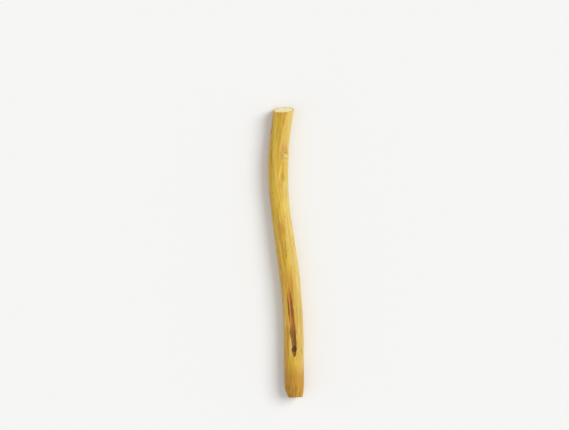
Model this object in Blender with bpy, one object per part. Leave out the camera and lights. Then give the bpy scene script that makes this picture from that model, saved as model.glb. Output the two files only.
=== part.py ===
"""A miswak stick: one length of root with its thin bark on, cut to hand length.

Metres, +Z up. The stick lies along Y on a level surface at z = 0, its sawn end at +Y and
its whittled end at -Y. The origin is under the middle of its box. A place on the stick is
given by its distance from the whittled end and by its turn about the stick's own middle
line, which is 0 on top and grows towards +X.
"""

import math

import bmesh
import bpy
from mathutils import Vector, noise

# The root as it grew
LENGTH = 0.1485
# Where the middle line starts along Y, which centres the box of the leaning cuts.
START_Y = -0.07483
# How far the middle line stands to the side, by distance: the root lies in a long lazy S.
BENDS = (
    (0.000, 0.0044),
    (0.020, 0.00405),
    (0.040, 0.0037),
    (0.060, 0.0022),
    (0.080, -0.0005),
    (0.100, -0.0032),
    (0.116, -0.0041),
    (0.130, -0.0036),
    (LENGTH, -0.0014),
)
# Half of the stick's width, by distance: it is thicker at the knot and flares where it was sawn.
GIRTHS = (
    (0.000, 0.00505),
    (0.014, 0.00515),
    (0.050, 0.00510),
    (0.077, 0.00505),
    (0.095, 0.00495),
    (0.110, 0.00515),
    (0.123, 0.00525),
    (0.133, 0.00510),
    (0.139, 0.00515),
    (LENGTH, 0.00550),
)
# How far the underside is clear of the surface, by distance: the stick arches a little in its middle.
LIFTS = (
    (0.000, 0.00040),
    (0.012, 0.00000),
    (0.046, 0.00000),
    (0.072, 0.00030),
    (0.098, 0.00000),
    (0.139, 0.00000),
    (LENGTH, 0.00030),
)
# The underside is pressed flat where it lies, this deep.
PRESSED = 0.00012
# The section is a little wider one way than the other.
OVAL = 0.015
OVAL_TURN = math.radians(40)
# Long low ridges in the bark: their height, how many fit around, and their length
RIDGE_HEIGHT = 0.00022
RIDGES_AROUND = 1.7
RIDGE_LENGTH = 0.030

# The whittled end is rounded off over this length, this deep, on a curve of this power.
WHITTLED_LENGTH = 0.007
WHITTLED_DEPTH = 0.0014
WHITTLED_CURVE = 1.9
# The slopes at which each cut face leans back from the top, and from -X, and how far from
# the cut the rings of the mesh begin to lean with it
SAWN_LEAN_TOP = math.tan(math.radians(13))
SAWN_LEAN_LEFT = math.tan(math.radians(10))
TIP_LEAN_TOP = math.tan(math.radians(4))
TIP_LEAN_LEFT = math.tan(math.radians(-2))
LEANING_LENGTH = 0.014
WORN_EDGE = 0.00028

# The knot: a swollen collar, a dent in it and the stub of a rootlet broken off in the dent
KNOT_AT = 0.1252
KNOT_TURN = math.radians(43)
COLLAR_REACH = 0.0048
COLLAR_HEIGHT = 0.00042
DENT_REACH = 0.0023
DENT_DEPTH = 0.00075
STUB_REACH = 0.0013
STUB_TOP = 0.0006
STUB_HEIGHT = 0.00095

# The hollow that runs down from the knot, its deepest pit, and the low rim beside it
HOLLOW_FROM = 0.1090
HOLLOW_TO = 0.1232
HOLLOW_TURNS = (math.radians(26), math.radians(33))
HOLLOW_FADE = 0.004
HOLLOW_HALF_WIDTH = 0.0014
HOLLOW_DEPTH = 0.00042
PIT_AT = 0.1136
PIT_TURN = math.radians(28)
PIT_REACH = 0.0017
PIT_DEPTH = 0.00030
RIM_FROM = 0.1120
RIM_TO = 0.1215
RIM_TURNS = (math.radians(2), math.radians(22))
RIM_FADE = 0.003
RIM_HALF_WIDTH = 0.0011
RIM_HEIGHT = 0.00020

# The furrow along the lower half, with a low lip on each side, and the scar near its end
FURROW_FROM = 0.020
FURROW_FULL_FROM = 0.025
FURROW_FULL_TO = 0.044
FURROW_TO = 0.064
FURROW_TURNS = (math.radians(4), math.radians(-12))
FURROW_HALF_WIDTH = 0.0017
FURROW_DEPTH = 0.00060
LIP_HALF_WIDTH = 0.0034
LIP_HEIGHT = 0.00016
SCAR_AT = 0.0252
SCAR_TURN = math.radians(2)
SCAR_REACH = 0.0015
SCAR_DEPTH = 0.00040

# How finely the solid is faceted: closer rings at the whittled end and at the knot
SIDES = 40
TANGENT_STEP = 0.0005
RING_STEP = 0.00185
FINE_STEP = 0.00085
TIP_STEP = 0.00090
FINE_FROM = 0.108
FINE_TO = 0.130

# Finishes
BARK_COLOUR = (0.560, 0.345, 0.060, 1.0)
BARK_ROUGHNESS = 0.55
WOOD_COLOUR = (0.800, 0.650, 0.380, 1.0)
WOOD_ROUGHNESS = 0.80
SHARP_ANGLE = math.radians(35)


def along(points, place):
    """The height at a place of the smooth curve through points, each a place and a height."""
    last = len(points) - 1
    index = sum(1 for point in points[1:last] if point[0] <= place)

    def slope(number):
        low = points[max(number - 1, 0)]
        high = points[min(number + 1, last)]
        return (high[1] - low[1]) / (high[0] - low[0])

    start, end = points[index], points[index + 1]
    span = end[0] - start[0]
    part = (place - start[0]) / span
    rest = 1 - part
    value = start[1] * (1 + 2 * part) * rest**2 + end[1] * (1 + 2 * rest) * part**2
    return value + span * part * rest * (slope(index) * rest - slope(index + 1) * part)


def ramp(value, start, end):
    """Rises smoothly from 0 at start to 1 at end, and stays level outside them."""
    part = min(max((value - start) / (end - start), 0.0), 1.0)
    return part * part * (3 - 2 * part)


def hump(distance, reach):
    """A round hump, 1 at its middle and 0 from its reach outwards."""
    if abs(distance) >= reach:
        return 0.0
    return 0.5 + 0.5 * math.cos(math.pi * distance / reach)


def window(place, start, end, fade):
    """1 between start and end, fading to 0 over the last stretch inside each of them."""
    return ramp(place, start, start + fade) * (1 - ramp(place, end - fade, end))


def sideways(turn, middle_turn, half_width):
    """The distance over the surface between two turns."""
    apart = (turn - middle_turn + math.pi) % math.tau - math.pi
    return apart * half_width


def turn_between(turns, place, start, end):
    """The turn that a mark has reached at a place, as it winds evenly from start to end."""
    part = min(max((place - start) / (end - start), 0.0), 1.0)
    return turns[0] + (turns[1] - turns[0]) * part


def knot_relief(place, turn, half_width):
    """The swollen collar, the dent in it and the rootlet's stub in the dent."""
    away = math.hypot(place - KNOT_AT, sideways(turn, KNOT_TURN, half_width))
    collar = COLLAR_HEIGHT * hump(away, COLLAR_REACH)
    dent = DENT_DEPTH * hump(away, DENT_REACH)
    stub = STUB_HEIGHT * (1 - ramp(away, STUB_TOP, STUB_REACH))
    return collar - dent + stub


def hollow_relief(place, turn, half_width):
    """The hollow below the knot with its pit, and the rim that slants away from it."""
    middle = turn_between(HOLLOW_TURNS, place, HOLLOW_FROM, HOLLOW_TO)
    depth = HOLLOW_DEPTH * window(place, HOLLOW_FROM, HOLLOW_TO, HOLLOW_FADE)
    depth *= hump(sideways(turn, middle, half_width), HOLLOW_HALF_WIDTH)
    pit = math.hypot(place - PIT_AT, sideways(turn, PIT_TURN, half_width))
    rim_middle = turn_between(RIM_TURNS, place, RIM_FROM, RIM_TO)
    rim = RIM_HEIGHT * window(place, RIM_FROM, RIM_TO, RIM_FADE)
    rim *= hump(sideways(turn, rim_middle, half_width), RIM_HALF_WIDTH)
    return rim - depth - PIT_DEPTH * hump(pit, PIT_REACH)


def furrow_relief(place, turn, half_width):
    """The furrow between its two lips, and the scar."""
    middle = turn_between(FURROW_TURNS, place, FURROW_FROM, FURROW_TO)
    across = sideways(turn, middle, half_width)
    strength = ramp(place, FURROW_FROM, FURROW_FULL_FROM) * (1 - ramp(place, FURROW_FULL_TO, FURROW_TO))
    groove = LIP_HEIGHT * hump(across, LIP_HALF_WIDTH)
    groove -= (FURROW_DEPTH + LIP_HEIGHT) * hump(across, FURROW_HALF_WIDTH)
    scar = math.hypot(place - SCAR_AT, sideways(turn, SCAR_TURN, half_width))
    return strength * groove - SCAR_DEPTH * hump(scar, SCAR_REACH)


def surface_radius(place, turn):
    """How far the surface stands from the middle line."""
    half_width = along(GIRTHS, place)
    if place < WHITTLED_LENGTH:
        half_width -= WHITTLED_DEPTH * (1 - place / WHITTLED_LENGTH) ** WHITTLED_CURVE
    radius = half_width * (1 + OVAL * math.cos(2 * (turn - OVAL_TURN)))
    across, above = RIDGES_AROUND * math.sin(turn), RIDGES_AROUND * math.cos(turn)
    radius += RIDGE_HEIGHT * noise.noise(Vector((across, above, place / RIDGE_LENGTH)))
    radius += knot_relief(place, turn, half_width)
    radius += hollow_relief(place, turn, half_width)
    radius += furrow_relief(place, turn, half_width)
    return radius


def middle_point(place):
    """The middle line, at the height that puts the pressed underside on the surface."""
    height = along(GIRTHS, place) - PRESSED + max(along(LIFTS, place), 0.0)
    return Vector((along(BENDS, place), START_Y + place, height))


def ring_points(place, inset=0.0, onwards=0.0):
    """One ring of the surface, square to the middle line but leaning with a cut that is near."""
    middle = middle_point(place)
    before = middle_point(max(place - TANGENT_STEP, 0.0))
    after = middle_point(min(place + TANGENT_STEP, LENGTH))
    forward = (after - before).normalized()
    side = forward.cross(Vector((0, 0, 1))).normalized()
    up = side.cross(forward)
    sawn = ramp(place, LENGTH - LEANING_LENGTH, LENGTH)
    tip = 1 - ramp(place, 0.0, LEANING_LENGTH)
    slope_up = TIP_LEAN_TOP * tip - SAWN_LEAN_TOP * sawn
    slope_side = SAWN_LEAN_LEFT * sawn - TIP_LEAN_LEFT * tip
    points = []
    for number in range(SIDES):
        turn = math.tau * number / SIDES
        radius = surface_radius(place, turn) - inset
        across, above = radius * math.sin(turn), radius * math.cos(turn)
        ahead = onwards + slope_side * across + slope_up * above
        point = middle + side * across + up * above + forward * ahead
        point.z = max(point.z, 0.0)
        points.append(point)
    return points


def ring_places():
    """The distances of the rings, from the whittled end to the sawn one."""
    stretches = (
        (WORN_EDGE, WHITTLED_LENGTH, TIP_STEP),
        (WHITTLED_LENGTH, FINE_FROM, RING_STEP),
        (FINE_FROM, FINE_TO, FINE_STEP),
        (FINE_TO, LENGTH - WORN_EDGE, RING_STEP),
    )
    places = [WORN_EDGE]
    for start, end, step in stretches:
        count = round((end - start) / step)
        places += [start + (end - start) * number / count for number in range(1, count + 1)]
    return places


def stick_mesh():
    """The first ring is drawn along the stick, ring by ring, and both cuts are closed flat."""
    shape = bmesh.new()
    rings = [ring_points(WORN_EDGE, WORN_EDGE, -WORN_EDGE)]
    rings += [ring_points(place) for place in ring_places()]
    rings.append(ring_points(LENGTH - WORN_EDGE, WORN_EDGE, WORN_EDGE))
    verts = bmesh.ops.create_circle(shape, segments=SIDES, radius=GIRTHS[0][1])["verts"]
    edges = list(shape.edges)
    for vert, point in zip(verts, rings[0]):
        vert.co = point
    tip_face = bmesh.ops.contextual_create(shape, geom=edges)["faces"]
    for points in rings[1:]:
        drawn = bmesh.ops.extrude_edge_only(shape, edges=edges)["geom"]
        edges = [item for item in drawn if isinstance(item, bmesh.types.BMEdge)]
        edges = [edge for edge in edges if len(edge.link_faces) == 1]
        verts = [item for item in drawn if isinstance(item, bmesh.types.BMVert)]
        for vert, point in zip(verts, points):
            vert.co = point
    sawn_face = bmesh.ops.contextual_create(shape, geom=edges)["faces"]
    for face in tip_face + sawn_face:
        face.material_index = 1
    bmesh.ops.recalc_face_normals(shape, faces=shape.faces)
    mesh = bpy.data.meshes.new("stick")
    shape.to_mesh(mesh)
    shape.free()
    mesh.shade_smooth()
    mesh.set_sharp_from_angle(angle=SHARP_ANGLE)
    return mesh


def finish(name, colour, roughness):
    """A plain material of one colour."""
    material = bpy.data.materials.new(name)
    material.use_nodes = True
    shader = material.node_tree.nodes["Principled BSDF"]
    shader.inputs["Base Color"].default_value = colour
    shader.inputs["Roughness"].default_value = roughness
    shader.inputs["Metallic"].default_value = 0.0
    material.diffuse_color = colour
    return material


def build():
    for thing in list(bpy.data.objects):
        bpy.data.objects.remove(thing)
    mesh = stick_mesh()
    mesh.materials.append(finish("bark", BARK_COLOUR, BARK_ROUGHNESS))
    mesh.materials.append(finish("cut wood", WOOD_COLOUR, WOOD_ROUGHNESS))
    stick = bpy.data.objects.new("stick", mesh)
    bpy.context.scene.collection.objects.link(stick)


build()
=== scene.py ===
import math
import random

import bmesh
import bpy
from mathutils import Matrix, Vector, noise


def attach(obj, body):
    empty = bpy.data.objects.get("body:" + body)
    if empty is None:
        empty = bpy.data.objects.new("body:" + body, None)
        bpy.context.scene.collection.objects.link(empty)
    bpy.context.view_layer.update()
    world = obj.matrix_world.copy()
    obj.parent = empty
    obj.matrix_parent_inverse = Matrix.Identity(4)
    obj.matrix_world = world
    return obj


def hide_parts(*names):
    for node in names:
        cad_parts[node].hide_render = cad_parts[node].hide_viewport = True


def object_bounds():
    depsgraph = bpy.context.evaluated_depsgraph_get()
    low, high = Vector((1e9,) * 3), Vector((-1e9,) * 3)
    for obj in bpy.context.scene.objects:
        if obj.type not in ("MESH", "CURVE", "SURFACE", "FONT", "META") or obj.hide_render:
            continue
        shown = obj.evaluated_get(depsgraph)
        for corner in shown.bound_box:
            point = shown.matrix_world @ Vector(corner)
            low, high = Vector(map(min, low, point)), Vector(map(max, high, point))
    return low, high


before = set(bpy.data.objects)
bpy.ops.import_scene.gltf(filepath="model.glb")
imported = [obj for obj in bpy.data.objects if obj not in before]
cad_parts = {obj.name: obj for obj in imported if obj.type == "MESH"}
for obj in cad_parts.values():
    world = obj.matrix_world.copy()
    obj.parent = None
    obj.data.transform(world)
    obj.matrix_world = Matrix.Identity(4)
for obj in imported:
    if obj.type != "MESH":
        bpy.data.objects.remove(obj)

solid_low, solid_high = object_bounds()

# The root
# One cut length of root with its thin bark on. It grew in a long lazy S and thickened at a knot
# where a rootlet broke away; a furrow opened along its lower half as it dried. One end was sawn
# across, and the other whittled round with a knife.
MM = 0.001
LENGTH = 0.1485
START_Y = -0.07483
# A place is measured along the root from its whittled end, and a turn round it from the top
# towards its right. At each place: how far to the right the middle lies, how thick the root is
# from its middle out, and how far its underside lifts off the floor.
BENDS = (
    (0.000, 0.0044),
    (0.020, 0.00405),
    (0.040, 0.0037),
    (0.060, 0.0022),
    (0.080, -0.0005),
    (0.100, -0.0032),
    (0.116, -0.0041),
    (0.130, -0.0036),
    (LENGTH, -0.0014),
)
GIRTHS = (
    (0.000, 0.00505),
    (0.014, 0.00515),
    (0.050, 0.00510),
    (0.077, 0.00505),
    (0.095, 0.00495),
    (0.110, 0.00515),
    (0.123, 0.00525),
    (0.133, 0.00510),
    (0.139, 0.00515),
    (LENGTH, 0.00550),
)
LIFTS = (
    (0.000, 0.00040),
    (0.012, 0.00000),
    (0.046, 0.00000),
    (0.072, 0.00030),
    (0.098, 0.00000),
    (0.139, 0.00000),
    (LENGTH, 0.00030),
)
# The underside is pressed flat where it rests, and the section is oval with broad soft ridges.
PRESSED = 0.12 * MM
OVAL = 0.015
OVAL_TURN = math.radians(40)
RIDGE_HEIGHT = 0.22 * MM
RIDGES_AROUND = 1.7
RIDGE_LENGTH = 30 * MM

# The two cuts. The whittling goes deeper on one side.
WHITTLED_LENGTH = 7.6 * MM
WHITTLED_DEPTH = 1.4 * MM
WHITTLED_SIDE = 0.45
WHITTLED_CURVE = 1.9
KNIFE_CUTS = 9
KNIFE_FLAT = 0.985
KNIFE_CORNER = 1.03
SAWN_LEAN_TOP = math.tan(math.radians(13))
SAWN_LEAN_LEFT = math.tan(math.radians(10))
TIP_LEAN_TOP = math.tan(math.radians(4))
TIP_LEAN_LEFT = math.tan(math.radians(-2))
LEANING_LENGTH = 14 * MM
WORN_EDGE = 0.28 * MM
SAW_STROKE = 0.62 * MM
STROKE_WAY = (0.94, 0.34)
FIBRE_END = 0.34 * MM
SEAM_SHARE = 0.905

# The knot with its bruise, the hollow below it, the furrow with a band of painted shade beside its
# middle, and the scar at the furrow's end
KNOT_AT = 0.1252
KNOT_TURN = math.radians(43)
COLLAR_REACH = 4.8 * MM
COLLAR_HEIGHT = 0.42 * MM
DENT_REACH = 2.3 * MM
DENT_DEPTH = 0.75 * MM
FOLD_AT = 2.9 * MM
FOLD_REACH = 1.6 * MM
FOLD_BEND = 0.62 * MM
FOLD_HEIGHT = 0.05 * MM
STUB_AT = 0.1245
STUB_TURN = math.radians(37)
STUB_TOP = 0.8 * MM
STUB_REACH = 1.75 * MM
STUB_HEIGHT = 0.95 * MM
STUB_LUMPS = 0.55 * MM
STUB_LUMP_HEIGHT = 0.22 * MM
CLEFT_REACH = 0.5 * MM
CLEFT_DEPTH = 0.55
CLEFT_WAY = (0.45, 0.89)
BRUISE_AT = 0.1276
BRUISE_TURN = math.radians(36)
BRUISE_REACH = 4.4 * MM
HOLLOW_FROM = 0.1090
HOLLOW_TO = 0.1232
HOLLOW_TURNS = (math.radians(26), math.radians(33))
HOLLOW_FADE = 4 * MM
HOLLOW_HALF_WIDTH = 1.4 * MM
HOLLOW_DEPTH = 0.42 * MM
PIT_AT = 0.1136
PIT_TURN = math.radians(28)
PIT_REACH = 2.4 * MM
PIT_STRETCH = 1.8
PIT_DEPTH = 0.30 * MM
RIM_FROM = 0.1120
RIM_TO = 0.1215
RIM_TURNS = (math.radians(2), math.radians(22))
RIM_FADE = 3 * MM
RIM_HALF_WIDTH = 1.1 * MM
RIM_HEIGHT = 0.20 * MM
FURROW_FROM = 0.020
FURROW_FULL_FROM = 0.025
FURROW_FULL_TO = 0.044
FURROW_TO = 0.064
FURROW_TURNS = (math.radians(3.5), math.radians(-20))
FURROW_HALF_WIDTH = 1.85 * MM
FURROW_WANDER = 0.24 * MM
FURROW_DEPTH = 0.60 * MM
FRAYS = 22
FRAY_LENGTH = 4 * MM
TEARS = 44
TEAR_LENGTH = 6 * MM
TEAR_HEIGHT = 0.07 * MM
PAINTED_SHADE_OFF = 0.55 * MM
PAINTED_SHADE_REACH = 1.0 * MM
LIP_HALF_WIDTH = 3.4 * MM
LIP_HEIGHT = 0.16 * MM
SCAR_AT = 0.0252
SCAR_TURN = math.radians(2)
SCAR_REACH = 2.1 * MM
SCAR_DEPTH = 0.26 * MM
SCAR_STRETCH = 1.45

# The finer relief of the bark. An allowance is taken off first, so that the root keeps its girth.
SKIN_ALLOWANCE = 0.07 * MM
CORDS = 15
CORD_LENGTH = 24 * MM
CORD_HEIGHT = 0.075 * MM
THREADS = 34
THREAD_LENGTH = 9 * MM
THREAD_HEIGHT = 0.032 * MM
WRINKLES_AROUND = 5
WRINKLE_LENGTH = 1.3 * MM
WRINKLE_HEIGHT = 0.020 * MM
PORE_COUNT = 46
PORE_HEIGHT = 0.075 * MM
# Rootlets that were trimmed flush left small scars on the sides and underneath.
TRIMMED_ROOTLETS = (
    (0.0335, math.radians(104), 1.05 * MM),
    (0.0610, math.radians(-128), 0.90 * MM),
    (0.0885, math.radians(158), 1.20 * MM),
    (0.1365, math.radians(-78), 0.75 * MM),
)
ROOTLET_STRETCH = 1.6
# The grain parts around the knot: how far off it is felt, and how strongly it is pushed aside.
PARTING_REACH = 6.5 * MM
PARTING_STRETCH = 2.1
PARTING = 0.62

# The rings that the mesh is drawn in lie closer together round the knot.
COLUMNS = 152
COARSE_RING = 0.272 * MM
FINE_RING = 0.165 * MM
FINE_FROM = 0.1085
FINE_TO = 0.1305
EDGE_RINGS = 3
FACE_RINGS = 16
TANGENT_STEP = 0.5 * MM


def along(points, place):
    """The height at a place of the smooth curve through points, each a place and a height."""
    last = len(points) - 1
    index = sum(1 for point in points[1:last] if point[0] <= place)

    def slope(number):
        low = points[max(number - 1, 0)]
        high = points[min(number + 1, last)]
        return (high[1] - low[1]) / (high[0] - low[0])

    start, end = points[index], points[index + 1]
    span = end[0] - start[0]
    part = (place - start[0]) / span
    rest = 1 - part
    value = start[1] * (1 + 2 * part) * rest**2 + end[1] * (1 + 2 * rest) * part**2
    return value + span * part * rest * (slope(index) * rest - slope(index + 1) * part)


def ramp(value, start, end):
    """Rises smoothly from 0 at start to 1 at end, and stays level outside them."""
    part = min(max((value - start) / (end - start), 0.0), 1.0)
    return part * part * (3 - 2 * part)


def hump(distance, reach):
    """A round hump, 1 at its middle and 0 from its reach outwards."""
    if abs(distance) >= reach:
        return 0.0
    return 0.5 + 0.5 * math.cos(math.pi * distance / reach)


def window(place, start, end, fade):
    """1 between start and end, fading to 0 over the last stretch inside each of them."""
    return ramp(place, start, start + fade) * (1 - ramp(place, end - fade, end))


def turned(turn, middle_turn):
    """How far round the root a turn is from another, between half a turn back and half on."""
    return (turn - middle_turn + math.pi) % math.tau - math.pi


def turn_between(turns, place, start, end):
    """The turn at a place, on its way from the first turn at start to the second at end."""
    part = min(max((place - start) / (end - start), 0.0), 1.0)
    return turns[0] + (turns[1] - turns[0]) * part


def lengthwise(place, turn, count, length, seed):
    """Wavering lines along the root, from about -1 to 1: so many around it, each of a length."""
    spread = count / math.pi
    where = Vector((spread * math.sin(turn), spread * math.cos(turn), place / length + seed))
    return 2 * noise.noise(where)


def ragged(place, turn, size, seed):
    """Small uneven lumps of about a size, from about -1 to 1."""
    girth = GIRTHS[-1][1]
    across, above = girth * math.sin(turn), girth * math.cos(turn)
    return 2 * noise.noise(Vector((across / size, above / size + seed, place / size)))


def grain_turn(place, turn, girth):
    """The turn that the grain at this spot has away from the knot, around which it parts."""
    across = turned(turn, KNOT_TURN)
    away = math.hypot((place - KNOT_AT) / PARTING_STRETCH, across * girth)
    return turn - PARTING * hump(away, PARTING_REACH) * across


def scatter_pores():
    """Small raised pores, each a place, a turn, a length round the root and a width along it."""
    draw = random.Random(11)
    pores = []
    for _ in range(PORE_COUNT):
        place, turn = draw.uniform(0.010, 0.146), draw.uniform(-math.pi, math.pi)
        pores.append((place, turn, draw.uniform(0.5, 1.0) * MM, draw.uniform(0.28, 0.42) * MM))
    return pores


def knife_cuts():
    """The flats that the knife left round the end, each facing a turn and set in by a share."""
    draw = random.Random(5)
    step = math.tau / KNIFE_CUTS
    return [
        (number * step + draw.uniform(-0.14, 0.14), draw.uniform(-0.012, 0.008))
        for number in range(KNIFE_CUTS)
    ]


pores = scatter_pores()
cuts = knife_cuts()


def knot_relief(place, turn, girth, marks):
    """The wrinkled collar, the dent, and in it the ragged stub of a rootlet that broke away."""
    across = turned(turn, KNOT_TURN) * girth
    away = math.hypot(place - KNOT_AT, across)
    if away >= COLLAR_REACH:
        return 0.0
    fold = math.cos(away / FOLD_BEND) * hump(away - FOLD_AT, FOLD_REACH)
    height = COLLAR_HEIGHT * hump(away, COLLAR_REACH) - DENT_DEPTH * hump(away, DENT_REACH)
    stub_across = turned(turn, STUB_TURN) * girth
    uneven = ragged(place, turn, STUB_LUMPS, 4.4)
    stub_away = math.hypot(place - STUB_AT, stub_across)
    stub_reach = max(STUB_REACH * (1 + 0.4 * uneven), 1.3 * STUB_TOP)
    stub = 1 - ramp(stub_away, STUB_TOP, stub_reach)
    cleft_away = (place - STUB_AT) * CLEFT_WAY[0] + stub_across * CLEFT_WAY[1]
    cleft = hump(cleft_away + 0.2 * MM * uneven, CLEFT_REACH)
    marks["stub"] = stub
    marks["cleft"] = cleft * stub
    marks["dent"] = hump(away, DENT_REACH) * (1 - stub)
    stub_height = STUB_HEIGHT * (1 - CLEFT_DEPTH * cleft) + STUB_LUMP_HEIGHT * uneven
    return height + FOLD_HEIGHT * fold + stub_height * stub


def hollow_relief(place, turn, girth, marks):
    """The hollow below the knot, its pit, and the rim that slants away from it."""
    if not HOLLOW_FROM < place < HOLLOW_TO:
        return 0.0
    across = turned(turn, turn_between(HOLLOW_TURNS, place, HOLLOW_FROM, HOLLOW_TO)) * girth
    across += 0.3 * MM * lengthwise(place, turn, 5, 3 * MM, 2.2)
    hollow = window(place, HOLLOW_FROM, HOLLOW_TO, HOLLOW_FADE) * hump(across, HOLLOW_HALF_WIDTH)
    pit_across = turned(turn, PIT_TURN) * girth + 0.2 * MM * ragged(place, turn, 1.1 * MM, 7.5)
    pit = hump(math.hypot((place - PIT_AT) / PIT_STRETCH, pit_across), PIT_REACH)
    rim_across = turned(turn, turn_between(RIM_TURNS, place, RIM_FROM, RIM_TO)) * girth
    rim = window(place, RIM_FROM, RIM_TO, RIM_FADE) * hump(rim_across, RIM_HALF_WIDTH)
    marks["hollow"] = hollow
    marks["pit"] = pit
    marks["rim"] = rim * (1 - hollow)
    return RIM_HEIGHT * rim - HOLLOW_DEPTH * hollow - PIT_DEPTH * pit


def furrow_relief(place, turn, girth, marks):
    """The furrow, torn open along the grain between two low lips, and the scar near its end."""
    if not FURROW_FROM - SCAR_REACH < place < FURROW_TO:
        return 0.0
    across = turned(turn, turn_between(FURROW_TURNS, place, FURROW_FROM, FURROW_TO)) * girth
    across += FURROW_WANDER * lengthwise(place, 0.0, 1, 7 * MM, 6.1)
    strength = ramp(place, FURROW_FROM, FURROW_FULL_FROM)
    strength *= 1 - ramp(place, FURROW_FULL_TO, FURROW_TO)
    width = FURROW_HALF_WIDTH * (1.1 + 0.18 * lengthwise(place, 0.0, 1, 5 * MM, 9.4))
    frayed = lengthwise(place, turn, FRAYS, FRAY_LENGTH, 3.8)
    width *= (0.35 + 0.65 * strength**0.5) * (1 + 0.12 * frayed)
    groove = strength * hump(across, width)
    lip = strength * hump(across, LIP_HALF_WIDTH)
    tear = lengthwise(place, turn, TEARS, TEAR_LENGTH, 2.7) * groove
    scar_across = turned(turn, SCAR_TURN) * girth
    away = math.hypot((place - SCAR_AT) / SCAR_STRETCH, scar_across)
    scar = hump(away, SCAR_REACH * (1 + 0.22 * ragged(place, turn, 1.5 * MM, 3.7)))
    marks["furrow"] = groove
    # Painted shade: a band beside the furrow's middle, on its right, darkened in colour only.
    marks["painted_furrow_shade"] = strength * hump(across - PAINTED_SHADE_OFF, PAINTED_SHADE_REACH)
    marks["lip"] = max(lip - groove, 0.0) * strength
    marks["scar"] = scar
    height = LIP_HEIGHT * lip - (FURROW_DEPTH + LIP_HEIGHT) * groove
    return height + TEAR_HEIGHT * tear - SCAR_DEPTH * scar


MARKS = (
    "pared",
    "crest",
    "pore",
    "rootlet",
    "stub",
    "cleft",
    "dent",
    "bruise",
    "hollow",
    "pit",
    "rim",
    "furrow",
    "painted_furrow_shade",
    "lip",
    "scar",
)


def skin(place, turn, near_pores=()):
    """The surface's distance from the middle line, and how strong each mark is at this spot."""
    girth = along(GIRTHS, place)
    marks = dict.fromkeys(MARKS, 0.0)
    radius = girth
    if place < WHITTLED_LENGTH:
        depth = WHITTLED_DEPTH * (1 - WHITTLED_SIDE * math.sin(turn))
        pared = girth - depth * (1 - place / WHITTLED_LENGTH) ** WHITTLED_CURVE
        flats = [
            (KNIFE_FLAT + inset) / max(math.cos(turned(turn, facing)), 0.2)
            for facing, inset in cuts
        ]
        radius = min(girth, pared * KNIFE_CORNER, pared * min(flats))
        marks["pared"] = ramp(girth - radius, 0.02 * MM, 0.16 * MM)
        girth = pared
    radius *= 1 + OVAL * math.cos(2 * (turn - OVAL_TURN))
    across, above = RIDGES_AROUND * math.sin(turn), RIDGES_AROUND * math.cos(turn)
    radius += RIDGE_HEIGHT * noise.noise(Vector((across, above, place / RIDGE_LENGTH)))

    grown = grain_turn(place, turn, girth)
    barky = 1 - 0.75 * marks["pared"]
    cord = lengthwise(place, grown, CORDS, CORD_LENGTH, 3.1)
    thread = lengthwise(place, grown, THREADS, THREAD_LENGTH, 7.7)
    wrinkle = lengthwise(place, grown, WRINKLES_AROUND, WRINKLE_LENGTH, 1.9)
    radius += barky * (CORD_HEIGHT * cord + THREAD_HEIGHT * thread + WRINKLE_HEIGHT * wrinkle)
    radius -= SKIN_ALLOWANCE
    marks["crest"] = 0.5 + 0.35 * cord + 0.15 * thread

    for pore_place, pore_turn, pore_length, pore_width in near_pores:
        pore_across = turned(turn, pore_turn) * girth / pore_length
        if abs(pore_across) < 1:
            swell = hump(math.hypot(pore_across, (place - pore_place) / pore_width), 1.0)
            radius += PORE_HEIGHT * swell
            marks["pore"] = max(marks["pore"], swell)
    for rootlet_place, rootlet_turn, reach in TRIMMED_ROOTLETS:
        rootlet_across = turned(turn, rootlet_turn) * girth
        away = math.hypot((place - rootlet_place) / ROOTLET_STRETCH, rootlet_across)
        away *= 1 + 0.22 * ragged(place, turn, 0.9 * MM, 6.6)
        if away < 2.2 * reach:
            sunk = 1 - ramp(away, 0.4 * reach, 1.05 * reach)
            radius += 0.16 * reach * hump(away, 2.2 * reach) - 0.22 * reach * sunk
            marks["rootlet"] = 1 - ramp(away, 0.4 * reach, 1.3 * reach)
    radius += knot_relief(place, turn, girth, marks)
    radius += hollow_relief(place, turn, girth, marks)
    radius += furrow_relief(place, turn, girth, marks)
    bruise = math.hypot(place - BRUISE_AT, turned(turn, BRUISE_TURN) * girth)
    marks["bruise"] = hump(bruise, BRUISE_REACH * (1 + 0.3 * ragged(place, turn, 1.4 * MM, 2.8)))
    return radius, marks


def middle_point(place):
    """The middle of the root at a place, held as high as its girth there and its lift ask."""
    height = along(GIRTHS, place) - PRESSED + max(along(LIFTS, place), 0.0)
    return Vector((along(BENDS, place), START_Y + place, height))


def section(place):
    """Where the root's section at a place lies: its middle, its axes and its two slopes."""
    middle = middle_point(place)
    before = middle_point(max(place - TANGENT_STEP, 0.0))
    after = middle_point(min(place + TANGENT_STEP, LENGTH))
    forward = (after - before).normalized()
    side = forward.cross(Vector((0, 0, 1))).normalized()
    sawn = ramp(place, LENGTH - LEANING_LENGTH, LENGTH)
    tip = 1 - ramp(place, 0.0, LEANING_LENGTH)
    slope_up = TIP_LEAN_TOP * tip - SAWN_LEAN_TOP * sawn
    slope_side = SAWN_LEAN_LEFT * sawn - TIP_LEAN_LEFT * tip
    return middle, side, side.cross(forward), forward, slope_side, slope_up


def spot(cross_section, turn, radius, onwards=0.0):
    """A point of a section, at a turn and a distance from its middle. None lies below the floor."""
    middle, side, up, forward, slope_side, slope_up = cross_section
    across, above = radius * math.sin(turn), radius * math.cos(turn)
    ahead = onwards + slope_side * across + slope_up * above
    point = middle + side * across + up * above + forward * ahead
    point.z = max(point.z, 0.0)
    return point


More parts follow.
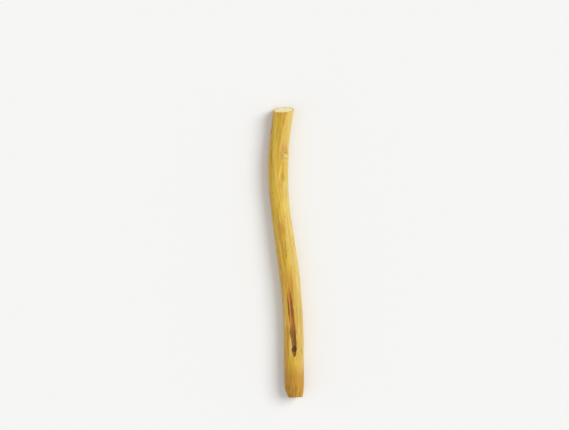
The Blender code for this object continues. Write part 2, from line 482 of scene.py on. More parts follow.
def face_relief(across, above, share):
    """How far a cut face lies back at a spot: saw strokes, fibre ends and the seam of the bark."""
    stroke = (across * STROKE_WAY[0] + above * STROKE_WAY[1]) / SAW_STROKE
    saw = noise.noise(Vector((stroke, 0.25 * stroke, 3.3)))
    fibre = noise.noise(Vector((across / FIBRE_END, above / FIBRE_END, 8.1)))
    seam = hump(share - SEAM_SHARE, 0.03)
    return (0.06 * saw + 0.07 * fibre - 0.08 * seam - 0.07) * MM


def ring_stations():
    """The rings from the rounded end's middle, along the root, to the sawn face's middle.

    Each is a place, the share of the way out from the middle line, how far it lies beyond the
    place, and the face that it belongs to: -1 for the rounded end, 1 for the sawn one, 0 for bark.
    """
    edge_share = WORN_EDGE / GIRTHS[-1][1]
    shares = [(1 - edge_share) * (number / FACE_RINGS) ** 0.8 for number in range(1, FACE_RINGS + 1)]
    face = [(share, WORN_EDGE, 1) for share in shares]
    for number in range(1, EDGE_RINGS):
        angle = math.pi / 2 * number / EDGE_RINGS
        face.append((1 - edge_share * (1 - math.sin(angle)), WORN_EDGE * math.cos(angle), 0))
    stations = [(WORN_EDGE, share, -onwards, -side) for share, onwards, side in face]
    stations.append((WORN_EDGE, 1.0, 0.0, 0))
    stretches = (
        (WORN_EDGE, FINE_FROM, COARSE_RING),
        (FINE_FROM, FINE_TO, FINE_RING),
        (FINE_TO, LENGTH - WORN_EDGE, COARSE_RING),
    )
    for start, end, step in stretches:
        count = round((end - start) / step)
        for number in range(1, count + 1):
            stations.append((start + (end - start) * number / count, 1.0, 0.0, 0))
    stations += [(LENGTH - WORN_EDGE, share, onwards, side) for share, onwards, side in reversed(face)]
    return stations


def draw_on(shape, edges):
    """Extrudes an open ring once: its new rim, points and faces, which are still to be placed."""
    drawn = bmesh.ops.extrude_edge_only(shape, edges=edges)["geom"]
    new_edges = [item for item in drawn if isinstance(item, bmesh.types.BMEdge)]
    rim = [edge for edge in new_edges if len(edge.link_faces) == 1]
    verts = [item for item in drawn if isinstance(item, bmesh.types.BMVert)]
    faces = [item for item in drawn if isinstance(item, bmesh.types.BMFace)]
    return rim, verts, faces


def finished_mesh(shape, name):
    """A smooth mesh of a drawn shape, with every face turned outwards."""
    bmesh.ops.recalc_face_normals(shape, faces=shape.faces)
    mesh = bpy.data.meshes.new(name)
    shape.to_mesh(mesh)
    shape.free()
    mesh.shade_smooth()
    return mesh


def draw_root():
    """Draws a small ring out over the rounded end, along the root and in over the sawn face."""
    shape = bmesh.new()
    grown = shape.verts.layers.float_vector.new("grown")
    out = shape.verts.layers.float.new("share")
    layers = {name: shape.verts.layers.float.new(name) for name in MARKS}
    verts = bmesh.ops.create_circle(shape, segments=COLUMNS, radius=MM)["verts"]
    edges = list(shape.edges)
    bmesh.ops.contextual_create(shape, geom=edges)
    for face in shape.faces:
        face.material_index = 1
    turns = [math.tau * number / COLUMNS for number in range(COLUMNS)]
    drawn_place = None
    for number, (place, share, onwards, side) in enumerate(ring_stations()):
        if number:
            edges, verts, faces = draw_on(shape, edges)
            for face in faces:
                face.material_index = 1 if side else 0
        if place != drawn_place:
            cross_section = section(place)
            near_pores = [pore for pore in pores if abs(pore[0] - place) < pore[3]]
            skins = [skin(place, turn, near_pores) for turn in turns]
            drawn_place = place
        for vert, turn, (radius, marks) in zip(verts, turns, skins):
            reach = radius * share
            across, above = reach * math.sin(turn), reach * math.cos(turn)
            beyond = onwards
            if side:
                beyond += side * face_relief(across, above, share)
            vert.co = spot(cross_section, turn, reach, beyond)
            here = grain_turn(place, turn, radius)
            vert[grown] = Vector((reach * math.sin(here), place + beyond, reach * math.cos(here)))
            vert[out] = share
            for name, value in marks.items():
                vert[layers[name]] = value
    middle = sum((vert.co for vert in verts), Vector()) / COLUMNS
    bmesh.ops.pointmerge(shape, verts=verts, merge_co=middle)
    return finished_mesh(shape, "root")


# The bark is thin and satin: golden with lengthwise streaks of straw, olive and orange, and
# browner where it is hollow, bruised or torn. The sawn wood is cream and dull, with faint growth
# zones and small tan islands, and the thin bark is a ring around it.
def paint(red, green, blue):
    """A colour named as a picture shows it, from 0 to 255, as the shader's linear values."""

    def linear(value):
        step = value / 255
        return step / 12.92 if step <= 0.04045 else ((step + 0.055) / 1.055) ** 2.4

    return linear(red), linear(green), linear(blue), 1.0


def put(tree, kind, values=None, **settings):
    """Adds a node, and gives its sockets numbers, colours or links from other nodes."""
    made = tree.nodes.new(kind)
    for name, value in settings.items():
        setattr(made, name, value)
    for name, value in (values or {}).items():
        if isinstance(value, bpy.types.NodeSocket):
            tree.links.new(value, made.inputs[name])
        else:
            made.inputs[name].default_value = value
    return made


def read_mark(tree, name):
    """How strong a mark of the surface is at each spot."""
    return put(tree, "ShaderNodeAttribute", attribute_name=name).outputs["Fac"]


def reckon(tree, operation, first, second=0.0):
    """Works out one value from one or two others."""
    return put(tree, "ShaderNodeMath", {0: first, 1: second}, operation=operation).outputs["Value"]


def ease(tree, value, start, end, low=0.0, high=1.0):
    """Carries a value smoothly from low at start to high at end."""
    values = {"Value": value, "From Min": start, "From Max": end, "To Min": low, "To Max": high}
    return put(tree, "ShaderNodeMapRange", values, interpolation_type="SMOOTHSTEP").outputs["Result"]


def lay(tree, under, over, amount):
    """Lays one colour over another. The node's colour sockets share their names with its other
    sockets, so they are given by number."""
    made = put(tree, "ShaderNodeMix", {0: amount, 6: under, 7: over}, data_type="RGBA")
    return made.outputs[2]


def lay_all(tree, colour, layers):
    """Lays colours over one another: each where its value goes from a start to an end, and no
    more opaque than its most."""
    for value, over, start, end, most in layers:
        colour = lay(tree, colour, over, ease(tree, value, start, end, 0.0, most))
    return colour


def shades(tree, value, *stops):
    """A ramp through colours, each with its position."""
    made = put(tree, "ShaderNodeValToRGB", {"Fac": value})
    steps = made.color_ramp.elements
    while len(steps) < len(stops):
        steps.new(1.0)
    for step, (position, colour) in zip(steps, stops):
        step.position = position
        step.color = colour
    return made.outputs["Color"]


def new_group(name, inputs, output):
    """An empty node group with its named sockets, and the nodes that stand for its two ends."""
    group = bpy.data.node_groups.new(name, "ShaderNodeTree")
    for label, value in inputs.items():
        kind = "NodeSocketVector" if isinstance(value, tuple) else "NodeSocketFloat"
        group.interface.new_socket(label, in_out="INPUT", socket_type=kind).default_value = value
    group.interface.new_socket(output, in_out="OUTPUT", socket_type="NodeSocketFloat")
    return group, group.nodes.new("NodeGroupInput"), group.nodes.new("NodeGroupOutput")


def grain_place(group, start, across):
    """The place, counted in the pattern's own sizes: one across the grain, and its length along."""
    across_steps = reckon(group, "DIVIDE", 1 / MM, start.outputs[across])
    along_steps = reckon(group, "DIVIDE", 1 / MM, start.outputs["Length"])
    steps = {"X": across_steps, "Y": along_steps, "Z": across_steps}
    scale = put(group, "ShaderNodeCombineXYZ", steps).outputs["Vector"]
    scaled = {0: start.outputs["Place"], 1: scale}
    return put(group, "ShaderNodeVectorMath", scaled, operation="MULTIPLY").outputs["Vector"]


def soft_noise(tree, place, seed, scale):
    """Soft noise around one half. Its fourth dimension gives each seed a pattern of its own."""
    values = {"Vector": place, "W": seed, "Scale": scale, "Detail": 2.0}
    return put(tree, "ShaderNodeTexNoise", values, noise_dimensions="4D").outputs["Fac"]


def streak_group():
    """Streaks that run with the grain, by their width and length in millimetres."""
    inputs = {"Place": (0.0, 0.0, 0.0), "Width": 1.0, "Length": 20.0, "Seed": 0.0}
    group, start, end = new_group("streaks along the grain", inputs, "Streak")
    lines = soft_noise(group, grain_place(group, start, "Width"), start.outputs["Seed"], 0.5)
    group.links.new(ease(group, lines, 0.30, 0.70), end.inputs["Streak"])
    return group


def crack_group():
    """Fine lines that open here and there along the grain, by their spacing in millimetres."""
    inputs = {"Place": (0.0, 0.0, 0.0), "Spacing": 2.4, "Length": 28.0, "Fineness": 0.02, "Seed": 0.0}
    group, start, end = new_group("cracks along the grain", inputs, "Crack")
    place = grain_place(group, start, "Spacing")
    lines = soft_noise(group, place, start.outputs["Seed"], 1.0)
    off_line = reckon(group, "ABSOLUTE", reckon(group, "SUBTRACT", lines, 0.5))
    line = ease(group, off_line, 0.0, start.outputs["Fineness"], 1.0, 0.0)
    patches = soft_noise(group, place, reckon(group, "ADD", start.outputs["Seed"], 9.0), 1.4)
    opened = ease(group, patches, 0.50, 0.62)
    group.links.new(reckon(group, "MULTIPLY", line, opened), end.inputs["Crack"])
    return group


def speck_group():
    """Scattered specks, by their spacing in millimetres and their size as a share of it."""
    inputs = {"Place": (0.0, 0.0, 0.0), "Spacing": 2.0, "Size": 0.3, "Share": 0.4, "Seed": 0.0}
    group, start, end = new_group("scattered specks", inputs, "Speck")
    scale = reckon(group, "DIVIDE", 1 / MM, start.outputs["Spacing"])
    values = {"Vector": start.outputs["Place"], "W": start.outputs["Seed"], "Scale": scale}
    cells = put(group, "ShaderNodeTexVoronoi", values, voronoi_dimensions="4D")
    size = start.outputs["Size"]
    near = ease(group, cells.outputs["Distance"], reckon(group, "MULTIPLY", size, 0.55), size, 1.0, 0.0)
    parts = put(group, "ShaderNodeSeparateColor", {"Color": cells.outputs["Color"]})
    chosen = reckon(group, "LESS_THAN", parts.outputs["Red"], start.outputs["Share"])
    group.links.new(reckon(group, "MULTIPLY", near, chosen), end.inputs["Speck"])
    return group


streaks_in_grain = streak_group()
cracks_in_grain = crack_group()
scattered_specks = speck_group()


def streak(tree, place, width, length, seed):
    values = {"Place": place, "Width": width, "Length": length, "Seed": seed}
    return put(tree, "ShaderNodeGroup", values, node_tree=streaks_in_grain).outputs["Streak"]


def cracks(tree, place, spacing, length, fineness, seed):
    values = {"Place": place, "Spacing": spacing, "Length": length, "Fineness": fineness, "Seed": seed}
    return put(tree, "ShaderNodeGroup", values, node_tree=cracks_in_grain).outputs["Crack"]


def specks(tree, place, spacing, size, share, seed):
    values = {"Place": place, "Spacing": spacing, "Size": size, "Share": share, "Seed": seed}
    return put(tree, "ShaderNodeGroup", values, node_tree=scattered_specks).outputs["Speck"]


def new_finish(name):
    """A material with its node tree and its Principled shader."""
    material = bpy.data.materials.new(name)
    material.use_nodes = True
    return material, material.node_tree, material.node_tree.nodes["Principled BSDF"]


# The width and length in millimetres and the seed of each kind of streak in the bark
BARK_STREAKS = {
    "stain": (4.2, 8.0, 6.0),
    "broad": (3.4, 46.0, 1.0),
    "hue": (2.4, 34.0, 5.0),
    "scaly": (1.6, 0.9, 10.0),
    "middling": (1.3, 20.0, 2.0),
    "torn": (0.6, 12.0, 9.0),
    "fine": (0.45, 9.0, 3.0),
    "hairline": (0.20, 5.0, 4.0),
    "frayed": (0.20, 6.0, 15.0),
    "fibrous": (0.11, 3.5, 13.0),
}
# The spacing, length, fineness and seed of the bark's cracks and of the gashes in the furrow
BARK_CRACKS = {"crack": (2.4, 32.0, 0.013, 14.0), "gash": (0.9, 11.0, 0.035, 16.0)}
# The spacing, size, share and seed of the bark's specks
BARK_SPECKS = {"dark speck": (2.6, 0.10, 0.35, 7.0), "tan speck": (4.5, 0.16, 0.40, 8.0)}
# From where to where the painted light on the right flank turns from straw to lemon, the rounded end
# turns ochre, with a ragged edge, and the furrow's floor darkens towards the scar
LIT_FLANK_TURNS = (42 * MM, 74 * MM)
OCHRE_TURNS = (17 * MM, 8 * MM)
OCHRE_RAGGED = 4 * MM
FURROW_DARKENS = (44 * MM, 28 * MM)


def whole_bark(tree, parts, line, mark):
    """The colour of the whole bark: gold with streaks, stains and specks, and painted light on its
    right flank.
    """
    # Painted light: the right flank, on the key light's side, is painted paler, straw to lemon along
    # the root.
    lit_flank = reckon(tree, "MULTIPLY", parts["X"], 1 / GIRTHS[0][1])
    lit_flank = reckon(tree, "ADD", lit_flank, ease(tree, line["broad"], 0.0, 1.0, -0.2, 0.2))
    upper = ease(tree, parts["Y"], *LIT_FLANK_TURNS)
    lit_flank_colour = lay(tree, paint(204, 176, 100), paint(220, 203, 118), upper)
    gold = ((0.0, paint(200, 150, 34)), (0.45, paint(208, 163, 40)), (1.0, paint(218, 180, 52)))
    layers = (
        (line["hue"], paint(200, 168, 46), 0.55, 0.95, 0.40),
        (line["hue"], paint(212, 152, 42), 0.45, 0.05, 0.42),
        (line["middling"], paint(182, 132, 34), 0.42, 0.0, 0.55),
        (line["middling"], paint(228, 200, 94), 0.62, 1.0, 0.40),
        (line["fine"], paint(158, 108, 28), 0.36, 0.0, 0.50),
        (line["fine"], paint(234, 208, 116), 0.70, 1.0, 0.35),
        (line["hairline"], paint(148, 100, 28), 0.25, 0.0, 0.30),
        (line["stain"], paint(188, 130, 38), 0.66, 1.0, 0.50),
        # Painted light: paler over the right flank.
        (lit_flank, lit_flank_colour, 0.14, 0.88, 0.70),
        (line["dark speck"], paint(138, 96, 40), 0.0, 1.0, 0.55),
        (line["tan speck"], paint(164, 112, 40), 0.0, 1.0, 0.50),
        (mark["pore"], paint(180, 130, 56), 0.1, 0.9, 0.50),
        (line["fibrous"], paint(150, 104, 34), 0.30, 0.0, 0.40),
        (line["fibrous"], paint(240, 218, 140), 0.74, 1.0, 0.30),
        (line["crack"], paint(134, 88, 32), 0.1, 0.9, 0.60),
        (mark["crest"], paint(236, 208, 120), 0.64, 0.95, 0.34),
    )
    return lay_all(tree, shades(tree, line["broad"], *gold), layers)


def pared_and_hollow(tree, colour, far, line, mark):
    """The rounded end is ochre, partly painted shade, with paler wood in its knife cuts, and the hollow
    is amber.
    """
    spread = reckon(tree, "ADD", far, reckon(tree, "MULTIPLY", line["middling"], -OCHRE_RAGGED))
    pared = reckon(tree, "ADD", mark["pared"], reckon(tree, "MULTIPLY", line["fine"], -0.3))
    wood = ((0.0, paint(164, 114, 34)), (0.5, paint(178, 128, 42)), (1.0, paint(196, 150, 62)))
    amber = ((0.0, paint(190, 144, 24)), (1.0, paint(210, 172, 44)))
    layers = (
        # Ochre towards the rounded end: partly the bark's own colour there, partly painted shade,
        # darker towards the tip.
        (spread, paint(180, 130, 36), *OCHRE_TURNS, 0.85),
        (pared, shades(tree, line["fine"], *wood), 0.1, 0.7, 0.85),
        (mark["rim"], paint(230, 196, 104), 0.0, 1.0, 0.70),
        (mark["hollow"], shades(tree, line["fine"], *amber), 0.08, 0.6, 0.9),
        (mark["pit"], paint(194, 148, 26), 0.08, 0.90, 0.85),
        (mark["lip"], paint(226, 186, 100), 0.1, 0.7, 0.40),
    )
    return lay_all(tree, colour, layers)


def torn_furrow(tree, far, line, mark):
    """The furrow's floor: brown with torn streaks, painted shade by its middle, darker downwards."""
    layers = (
        # Painted shade along the furrow's floor, right of its middle.
        (mark["painted_furrow_shade"], paint(150, 78, 26), 0.10, 0.90, 0.85),
        (far, paint(104, 58, 18), *FURROW_DARKENS, 1.0),
        (line["torn"], paint(198, 144, 66), 0.62, 1.0, 0.45),
        (line["torn"], paint(78, 42, 12), 0.35, 0.0, 0.60),
        (line["frayed"], paint(206, 150, 78), 0.66, 1.0, 0.42),
        (line["frayed"], paint(88, 50, 16), 0.36, 0.0, 0.50),
        (line["gash"], paint(62, 34, 12), 0.1, 1.0, 0.70),
    )
    return lay_all(tree, paint(192, 124, 42), layers)


def opened_bark(tree, colour, place, furrow_colour, line, mark):
    """The furrow with its dark scar, and the knot, red-brown round the pale stub of its rootlet."""
    ragged_edge = ease(tree, line["torn"], 0.0, 1.0, 0.08, -0.08)
    fringe = reckon(tree, "ADD", ragged_edge, ease(tree, line["frayed"], 0.0, 1.0, 0.09, -0.09))
    furrow = reckon(tree, "ADD", mark["furrow"], fringe)
    scar = reckon(tree, "ADD", mark["scar"], fringe)
    broken = {"Vector": place, "Scale": 1500.0, "Detail": 2.0}
    lumps = put(tree, "ShaderNodeTexNoise", broken).outputs["Fac"]
    brown = ((0.35, paint(140, 92, 38)), (0.65, paint(190, 142, 74)))
    pale = ((0.32, paint(202, 160, 86)), (0.5, paint(226, 198, 124)), (0.66, paint(242, 224, 166)))
    layers = (
        (furrow, furrow_colour, 0.16, 0.37, 0.92),
        (scar, paint(92, 50, 16), 0.24, 0.60, 0.88),
        (mark["bruise"], paint(186, 132, 62), 0.10, 0.95, 0.66),
        (mark["dent"], paint(160, 106, 42), 0.15, 0.80, 0.60),
        (mark["stub"], shades(tree, lumps, *pale), 0.30, 0.70, 0.95),
        (mark["cleft"], paint(186, 138, 70), 0.25, 0.90, 0.60),
        (mark["rootlet"], shades(tree, lumps, *brown), 0.05, 0.55, 0.70),
    )
    return lay_all(tree, colour, layers)


def bark_roughness(tree, line, mark):
    """Satin where the bark is whole, and dull where it is torn or pared."""
    satin = ease(tree, line["middling"], 0.0, 1.0, 0.55, 0.42)
    satin = reckon(tree, "ADD", satin, ease(tree, line["hairline"], 0.0, 1.0, 0.06, -0.04))
    bare = mark["furrow"]
    for name in ("dent", "pared", "stub"):
        bare = reckon(tree, "MAXIMUM", bare, mark[name])
    return reckon(tree, "ADD", satin, reckon(tree, "MULTIPLY", bare, 0.25))


def bark_height(tree, line, mark):
    """The finest relief: threads and scales, with the cracks and the furrow's gashes cut in."""
    height = reckon(tree, "MULTIPLY", line["fine"], 0.5)
    for name, share in (("hairline", 0.35), ("scaly", 0.2), ("fibrous", 0.3)):
        height = reckon(tree, "ADD", height, reckon(tree, "MULTIPLY", line[name], share))
    height = reckon(tree, "SUBTRACT", height, line["crack"])
    gashed = reckon(tree, "SUBTRACT", line["frayed"], line["gash"])
    return reckon(tree, "ADD", height, reckon(tree, "MULTIPLY", gashed, mark["furrow"]))


def bark_finish():
    """The thin satin bark, with all that is drawn in it."""
    material, tree, shader = new_finish("golden root bark")
    place = put(tree, "ShaderNodeAttribute", attribute_name="grown").outputs["Vector"]
    parts = put(tree, "ShaderNodeSeparateXYZ", {"Vector": place}).outputs
    mark = {name: read_mark(tree, name) for name in MARKS}
    line = {name: streak(tree, place, *sizes) for name, sizes in BARK_STREAKS.items()}
    line.update({name: cracks(tree, place, *sizes) for name, sizes in BARK_CRACKS.items()})
    line.update({name: specks(tree, place, *sizes) for name, sizes in BARK_SPECKS.items()})

    colour = whole_bark(tree, parts, line, mark)
    colour = pared_and_hollow(tree, colour, parts["Y"], line, mark)
    furrow_colour = torn_furrow(tree, parts["Y"], line, mark)
    colour = opened_bark(tree, colour, place, furrow_colour, line, mark)
    tree.links.new(colour, shader.inputs["Base Color"])
    tree.links.new(bark_roughness(tree, line, mark), shader.inputs["Roughness"])
    shader.inputs["Specular IOR Level"].default_value = 0.28
    relief = {"Strength": 0.6, "Distance": 0.05 * MM, "Height": bark_height(tree, line, mark)}
    bump = put(tree, "ShaderNodeBump", relief)
    tree.links.new(bump.outputs["Normal"], shader.inputs["Normal"])
    return material


GROWTH_ZONE = 1.5 * MM


def wood_finish():
    """The dull cream wood of the two cut faces."""
    material, tree, shader = new_finish("cut root wood")
    place = put(tree, "ShaderNodeAttribute", attribute_name="grown").outputs["Vector"]
    share = read_mark(tree, "share")
    parts = put(tree, "ShaderNodeSeparateXYZ", {"Vector": place})
    across_root = {"X": parts.outputs["X"], "Z": parts.outputs["Z"]}
    flat = put(tree, "ShaderNodeCombineXYZ", across_root).outputs["Vector"]
    out = put(tree, "ShaderNodeVectorMath", {0: flat}, operation="LENGTH").outputs["Value"]
    uneven = {"Vector": flat, "Scale": 420.0, "Detail": 3.0}
    waver = put(tree, "ShaderNodeTexNoise", uneven).outputs["Fac"]
    ringed = reckon(tree, "ADD", out, reckon(tree, "MULTIPLY", waver, GROWTH_ZONE))
    zones = reckon(tree, "SINE", reckon(tree, "MULTIPLY", ringed, math.tau / GROWTH_ZONE))
    turn = reckon(tree, "ARCTAN2", parts.outputs["X"], parts.outputs["Z"])
    ray_values = {"X": reckon(tree, "MULTIPLY", turn, 12.0), "Y": reckon(tree, "MULTIPLY", out, 300.0)}
    ray_place = put(tree, "ShaderNodeCombineXYZ", ray_values).outputs["Vector"]
    ray_noise = {"Vector": ray_place, "Scale": 1.0, "Detail": 2.0}
    rays = put(tree, "ShaderNodeTexNoise", ray_noise).outputs["Fac"]
    islands = specks(tree, flat, 0.62, 0.44, 0.70, 1.0)
    vessels = specks(tree, flat, 0.36, 0.30, 0.55, 2.0)
    sawn = ease(tree, parts.outputs["Y"], 0.4 * LENGTH, 0.6 * LENGTH)
    edge = reckon(tree, "ADD", share, reckon(tree, "MULTIPLY", waver, 0.03))
    ring = reckon(tree, "MULTIPLY", ease(tree, edge, 0.915, 0.94), sawn)
    seam = reckon(tree, "MULTIPLY", ease(tree, edge, 0.885, 0.915), sawn)
    rounded = reckon(tree, "SUBTRACT", 1.0, sawn)
    rounded_edge = reckon(tree, "MULTIPLY", ease(tree, edge, 0.78, 1.0), rounded)
    colour = lay_all(
        tree,
        shades(tree, waver, (0.3, paint(242, 224, 166)), (0.7, paint(254, 244, 202))),
        (
            (zones, paint(222, 192, 128), 0.2, 1.0, 0.26),
            (rays, paint(204, 168, 106), 0.55, 0.72, 0.50),
            (islands, paint(188, 146, 84), 0.0, 1.0, 0.55),
            (vessels, paint(146, 108, 58), 0.0, 1.0, 0.55),
            (seam, paint(176, 132, 70), 0.0, 1.0, 0.70),
            (ring, paint(196, 150, 62), 0.0, 1.0, 1.0),
            (rounded_edge, paint(194, 142, 66), 0.0, 1.0, 0.85),
        ),
    )
    tree.links.new(colour, shader.inputs["Base Color"])
    tree.links.new(ease(tree, waver, 0.3, 0.7, 0.70, 0.86), shader.inputs["Roughness"])
    shader.inputs["Specular IOR Level"].default_value = 0.3
    height = reckon(tree, "SUBTRACT", waver, reckon(tree, "MULTIPLY", vessels, 0.6))
    height = reckon(tree, "ADD", height, reckon(tree, "MULTIPLY", zones, 0.08))
    bump = put(tree, "ShaderNodeBump", {"Strength": 0.6, "Distance": 0.06 * MM, "Height": height})
    tree.links.new(bump.outputs["Normal"], shader.inputs["Normal"])
    return material


def place_piece(name, mesh, *finishes):
    """Puts a finished mesh of the root in the scene, in place of its plain solid."""
    for finish in finishes:
        mesh.materials.append(finish)
    piece = bpy.data.objects.new(name, mesh)
    bpy.context.scene.collection.objects.link(piece)
    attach(piece, "root")
    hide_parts("stick")


place_piece("root_with_bark", draw_root(), bark_finish(), wood_finish())

# The torn fibres
# Sawing, whittling and breaking left short pale fibres standing on the rims of the two cuts
# and on the stub of the rootlet. They are the root's own wood, still fast in it.
STRAND_SIDES = 4
SAWN_FIBRES = 46
WHITTLED_FIBRES = 26
STUB_FIBRES = 14
BOX_MARGIN = 0.03 * MM


def draw_strand(shape, tint, path, across, half_width, half_depth, shade):
    """Draws a flat strand along a path: as wide as across says, and tapering to a point."""
    last = len(path) - 1
    verts = bmesh.ops.create_circle(shape, segments=STRAND_SIDES, radius=half_width)["verts"]
    edges = [
        next(edge for edge in vert.link_edges if edge.other_vert(vert) is onward)
        for vert, onward in zip(verts, verts[1:] + verts[:1])
    ]
    bmesh.ops.contextual_create(shape, geom=edges)
    for number, point in enumerate(path):
        if number:
            edges, verts, _ = draw_on(shape, edges)
        onwards = (path[min(number + 1, last)] - path[max(number - 1, 0)]).normalized()
        over = onwards.cross(across).normalized()
        left = 1 - 0.75 * number / last
        for vert, (sideways, upwards) in zip(verts, ((1, 0), (0, 1), (-1, 0), (0, -1))):
            vert.co = point + left * (across * sideways * half_width + over * upwards * half_depth)
            vert.co.z = max(vert.co.z, 0.0)
            vert[tint] = shade
    bmesh.ops.pointmerge(shape, verts=verts, merge_co=path[-1])


def bent_path(foot, way, curl, length):
    """A short path from a foot, that starts one way and curls more the further it goes."""
    parts = (0, 0.25, 0.5, 0.75, 1.0)
    return [foot + way * (length * part) + curl * (length * part**2) for part in parts]


def draw_fibres():
    """Stands fibres round the rims of both cuts and on the stub, and draws them as one mesh."""
    draw = random.Random(23)
    shape = bmesh.new()
    tint = shape.verts.layers.float.new("shade")

    def stand(foot, way, longest, half_width):
        way = way.normalized()
        curl = Vector([draw.uniform(-0.4, 0.4) for _ in range(3)])
        across = way.orthogonal().normalized()
        path = bent_path(foot, way, curl, draw.uniform(0.35, 1.0) * longest)
        tip = path[-1]
        room = min(tip.y - solid_low.y, solid_high.y - tip.y, solid_high.z - tip.z)
        if room > BOX_MARGIN:
            draw_strand(shape, tint, path, across, half_width, 0.6 * half_width, draw.random())

    cut_ends = ((LENGTH - WORN_EDGE, 1, SAWN_FIBRES), (WORN_EDGE, -1, WHITTLED_FIBRES))
    for place, heading, count in cut_ends:
        cross_section = section(place)
        side, up, forward = cross_section[1:4]
        for _ in range(count):
            turn = draw.uniform(-math.pi, math.pi)
            radius = skin(place, turn)[0] * draw.uniform(0.86, 0.985)
            foot = spot(cross_section, turn, radius, heading * 0.05 * MM)
            outwards = side * math.sin(turn) + up * math.cos(turn)
            way = forward * heading + outwards * draw.uniform(-0.3, 0.7)
            stand(foot, way, 0.75 * MM, draw.uniform(0.025, 0.055) * MM)
    for _ in range(STUB_FIBRES):
        place = STUB_AT + draw.uniform(-0.8, 0.8) * MM
        turn = STUB_TURN + draw.uniform(-0.8, 0.8) * MM / GIRTHS[-1][1]
        cross_section = section(place)
        side, up, forward = cross_section[1:4]
        outwards = side * math.sin(turn) + up * math.cos(turn)
        foot = spot(cross_section, turn, skin(place, turn)[0] - 0.1 * MM)
        way = outwards + forward * draw.uniform(-1.6, 0.9) + side * draw.uniform(-0.9, 0.9)
        stand(foot, way, 0.7 * MM, draw.uniform(0.03, 0.06) * MM)
    return finished_mesh(shape, "fibres")


def strand_finish(name, *stops):
    """Dry fibre: each strand has its own shade, and fine lines run through it."""
    material, tree, shader = new_finish(name)
    place = put(tree, "ShaderNodeTexCoord").outputs["Object"]
    line = streak(tree, place, 0.12, 1.5, 12.0)
    shade = reckon(tree, "ADD", read_mark(tree, "shade"), ease(tree, line, 0.0, 1.0, -0.18, 0.18))
    tree.links.new(shades(tree, shade, *stops), shader.inputs["Base Color"])
    tree.links.new(ease(tree, line, 0.0, 1.0, 0.62, 0.8), shader.inputs["Roughness"])
    shader.inputs["Specular IOR Level"].default_value = 0.3
    bump = put(tree, "ShaderNodeBump", {"Strength": 0.5, "Distance": 0.02 * MM, "Height": line})
    tree.links.new(bump.outputs["Normal"], shader.inputs["Normal"])
    return material


pale_fibre = ((0.0, paint(206, 164, 88)), (0.5, paint(232, 204, 138)), (1.0, paint(250, 236, 190)))
place_piece("torn_fibres", draw_fibres(), strand_finish("pale torn fibre", *pale_fibre))

# The lifted slivers
# Where the furrow tore open, thin slivers of bark came loose at one end and lie along its
# edges, and a few cross its floor.
# Each has a place where it is fast and one where it ends, how far across the furrow's middle it
# lies at both, its half width and the lift of its free end. The last four are in millimetres.
SLIVERS = (
    (0.0292, 0.0372, -1.25, -0.90, 0.16, 0.28),
    (0.0320, 0.0362, 0.35, 0.15, 0.10, 0.16),
    (0.0350, 0.0440, 1.25, 1.00, 0.15, 0.24),
    (0.0408, 0.0462, -0.30, -0.50, 0.10, 0.16),
    (0.0432, 0.0520, -1.15, -0.75, 0.14, 0.24),
    (0.0482, 0.0552, 0.95, 0.55, 0.12, 0.20),
)
SLIVER_STEPS = 9


def draw_slivers():
    """Lays each sliver along the furrow, with one end lifted off the bark."""
    draw = random.Random(31)
    shape = bmesh.new()
    tint = shape.verts.layers.float.new("shade")
    for start, end, across_start, across_end, half_width, lift in SLIVERS:
        path = []
        for number in range(SLIVER_STEPS):
            part = number / (SLIVER_STEPS - 1)
            place = start + (end - start) * part
            middle_turn = turn_between(FURROW_TURNS, place, FURROW_FROM, FURROW_TO)
            across = (across_start + (across_end - across_start) * part) * MM
            turn = middle_turn + (across + 0.05 * MM * math.sin(5 * part)) / along(GIRTHS, place)
            radius = skin(place, turn)[0] + (lift * part**2 - 0.04) * MM
            path.append(spot(section(place), turn, radius))
        side = section(start)[1]
        draw_strand(shape, tint, path, side, half_width * MM, 0.05 * MM, draw.random())
    return finished_mesh(shape, "slivers")


torn_bark = ((0.0, paint(150, 92, 34)), (0.5, paint(190, 136, 56)), (1.0, paint(218, 178, 96)))
place_piece("lifted_slivers", draw_slivers(), strand_finish("torn bark", *torn_bark))

# The floor, the light and the camera
# A plain pale floor under one large soft light from the upper right, with a weaker one opposite
# and a pale surround, a little brighter overhead on the right. The camera looks straight down.
HORIZON = 0.90
OVERHEAD_LEFT = 0.42
OVERHEAD_RIGHT = 0.52
floor_shape = bmesh.new()
bmesh.ops.create_circle(floor_shape, cap_ends=True, segments=96, radius=6.5)
bmesh.ops.translate(floor_shape, verts=floor_shape.verts, vec=(0, 0, -0.1 * MM))
floor_mesh = bpy.data.meshes.new("floor")
floor_shape.to_mesh(floor_mesh)
floor_shape.free()
floor_finish, _, floor_shader = new_finish("pale floor")
floor_shader.inputs["Base Color"].default_value = (0.86, 0.86, 0.85, 1.0)
floor_shader.inputs["Roughness"].default_value = 0.9
floor_shader.inputs["Specular IOR Level"].default_value = 0.2
floor_mesh.materials.append(floor_finish)
floor = bpy.data.objects.new("floor", floor_mesh)
bpy.context.scene.collection.objects.link(floor)


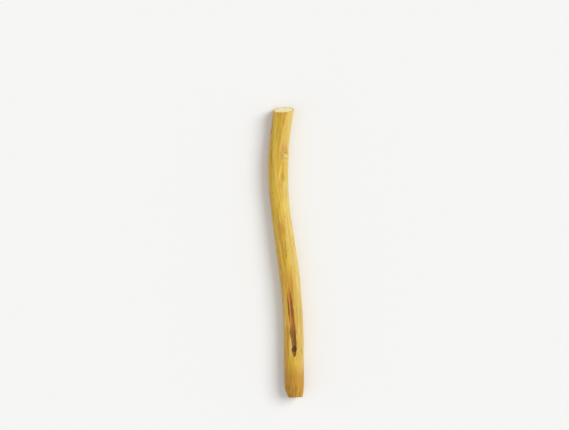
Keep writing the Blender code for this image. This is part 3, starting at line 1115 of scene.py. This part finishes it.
def soft_light(name, place, spread, power):
    """A broad distant light that shines on the stick from a side."""
    light = bpy.data.lights.new(name, "SUN")
    light.angle = math.radians(spread)
    light.energy = power
    made = bpy.data.objects.new(name, light)
    made.location = place
    made.rotation_euler = (-Vector(place)).to_track_quat("-Z", "Y").to_euler()
    bpy.context.scene.collection.objects.link(made)


soft_light("key light", (0.62, 0.27, 0.71), 36, 1.95)
soft_light("fill light", (-0.45, -0.55, 0.70), 90, 0.60)
world = bpy.data.worlds.new("studio")
world.use_nodes = True
world_tree = world.node_tree
gaze = put(world_tree, "ShaderNodeTexCoord").outputs["Generated"]
gaze_parts = put(world_tree, "ShaderNodeSeparateXYZ", {"Vector": gaze}).outputs
overhead = ease(world_tree, gaze_parts["X"], -1.0, 1.0, OVERHEAD_LEFT, OVERHEAD_RIGHT)
glow = ease(world_tree, gaze_parts["Z"], 0.12, 0.26, HORIZON, overhead)
background = world_tree.nodes["Background"]
background.inputs["Color"].default_value = (1.0, 1.0, 1.0, 1.0)
world_tree.links.new(glow, background.inputs["Strength"])
bpy.context.scene.world = world
bpy.context.scene.view_settings.view_transform = "Standard"

PICTURE_WIDTH = 569
PICTURE_HEIGHT = 430
METRES_PER_PIXEL = 0.5163 * MM
STICK_MIDDLE = (286.1, 252.5)
CAMERA_HEIGHT = 0.80
SENSOR_WIDTH = 36.0
view = bpy.data.cameras.new("camera")
view.sensor_width = SENSOR_WIDTH
view.lens = SENSOR_WIDTH * (CAMERA_HEIGHT - solid_high.z / 2) / (PICTURE_WIDTH * METRES_PER_PIXEL)
view.clip_start = 0.01
view.clip_end = 20.0
camera = bpy.data.objects.new("camera", view)
camera.location = (
    (solid_low.x + solid_high.x) / 2 + (PICTURE_WIDTH / 2 - STICK_MIDDLE[0]) * METRES_PER_PIXEL,
    (solid_low.y + solid_high.y) / 2 + (STICK_MIDDLE[1] - PICTURE_HEIGHT / 2) * METRES_PER_PIXEL,
    CAMERA_HEIGHT,
)
bpy.context.scene.collection.objects.link(camera)
bpy.context.scene.camera = camera
